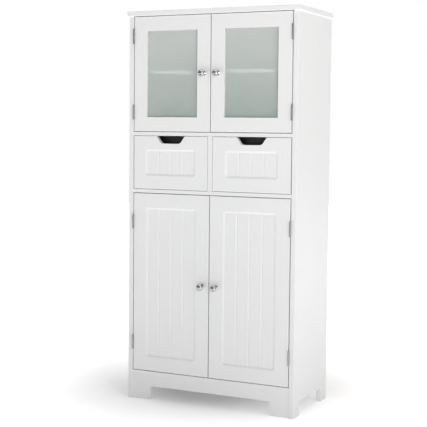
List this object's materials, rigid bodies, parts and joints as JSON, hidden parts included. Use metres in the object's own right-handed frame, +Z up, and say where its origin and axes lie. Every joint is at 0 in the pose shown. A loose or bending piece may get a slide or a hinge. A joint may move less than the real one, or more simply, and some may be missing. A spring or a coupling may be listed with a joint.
{
  "type": "storage cabinet",
  "caption": "Tall white freestanding cabinet with frosted glass doors above side-by-side drawers and plank-grooved lower doors, on cut-out feet.",
  "frame": {"origin": "on the floor, at the middle of the width and of the whole depth with the knobs", "axes": "+X to the cabinet's right as seen from the front, +Y towards the back, +Z up"},
  "size_m": [0.6, 0.322, 1.27],
  "materials": {
    "white_paint": "satin white paint on fibreboard",
    "hardboard": "white-faced hardboard",
    "frosted_glass": "frosted",
    "chrome": "polished",
    "nickel": "satin nickel plate",
    "zinc": "bright zinc plate",
    "black_plastic": "moulded satin",
    "white_plastic": "moulded satin",
    "beech": "raw beech"
  },
  "bodies": {
    "cabinet": {"back_panel": "hardboard", "bottom_board": "white_paint", "cabinet_screws": "zinc", "cam_bolts": "zinc", "cam_locks": "zinc", "dowels": "beech", "drawer_partition": "white_paint", "drawer_runners": "white_plastic", "front_apron": "white_paint", "hinge_frame_leaves": "nickel", "hinge_pins": "nickel", "left_side_panel": "white_paint", "lower_adjustable_shelf": "white_paint", "lower_fixed_shelf": "white_paint", "magnetic_catches": "white_plastic", "rear_stretcher": "white_paint", "right_side_panel": "white_paint", "shelf_pins": "zinc", "top_board": "white_paint", "upper_adjustable_shelf": "white_paint", "upper_fixed_shelf": "white_paint", "wall_rail": "white_paint"},
    "upper_left_door": {"upper_left_door_frame": "white_paint", "upper_left_door_screws": "zinc", "upper_left_glass_pane": "frosted_glass", "upper_left_glazing_beads": "white_paint", "upper_left_hinge_door_leaves": "nickel", "upper_left_knob": "chrome", "upper_left_strike_plate": "zinc"},
    "upper_right_door": {"upper_right_door_frame": "white_paint", "upper_right_door_screws": "zinc", "upper_right_glass_pane": "frosted_glass", "upper_right_glazing_beads": "white_paint", "upper_right_hinge_door_leaves": "nickel", "upper_right_knob": "chrome", "upper_right_strike_plate": "zinc"},
    "lower_left_door": {"lower_left_door_panel": "white_paint", "lower_left_door_screws": "zinc", "lower_left_hinge_door_leaves": "nickel", "lower_left_knob": "chrome", "lower_left_strike_plate": "zinc"},
    "lower_right_door": {"lower_right_door_panel": "white_paint", "lower_right_door_screws": "zinc", "lower_right_hinge_door_leaves": "nickel", "lower_right_knob": "chrome", "lower_right_strike_plate": "zinc"},
    "left_drawer": {"left_drawer_back": "white_paint", "left_drawer_bottom": "hardboard", "left_drawer_dowels": "beech", "left_drawer_front": "white_paint", "left_drawer_left_side": "white_paint", "left_drawer_pull_liner": "black_plastic", "left_drawer_right_side": "white_paint"},
    "right_drawer": {"right_drawer_back": "white_paint", "right_drawer_bottom": "hardboard", "right_drawer_dowels": "beech", "right_drawer_front": "white_paint", "right_drawer_left_side": "white_paint", "right_drawer_pull_liner": "black_plastic", "right_drawer_right_side": "white_paint"}
  },
  "joints": [
    {"name": "upper_left_door_hinge", "type": "hinge", "parent": "cabinet", "child": "upper_left_door", "pos_m": [-0.2765, -0.136, 1.06775], "axis": [0, 0, -1], "range_deg": [0, 180]},
    {"name": "upper_right_door_hinge", "type": "hinge", "parent": "cabinet", "child": "upper_right_door", "pos_m": [0.2765, -0.136, 1.06775], "axis": [0, 0, 1], "range_deg": [0, 180]},
    {"name": "lower_left_door_hinge", "type": "hinge", "parent": "cabinet", "child": "lower_left_door", "pos_m": [-0.2765, -0.136, 0.38975], "axis": [0, 0, -1], "range_deg": [0, 180]},
    {"name": "lower_right_door_hinge", "type": "hinge", "parent": "cabinet", "child": "lower_right_door", "pos_m": [0.2765, -0.136, 0.38975], "axis": [0, 0, 1], "range_deg": [0, 180]},
    {"name": "left_drawer_slide", "type": "slide", "parent": "cabinet", "child": "left_drawer", "axis": [0, -1, 0], "range_m": [0, 0.18]},
    {"name": "right_drawer_slide", "type": "slide", "parent": "cabinet", "child": "right_drawer", "axis": [0, -1, 0], "range_m": [0, 0.18]}
  ]
}
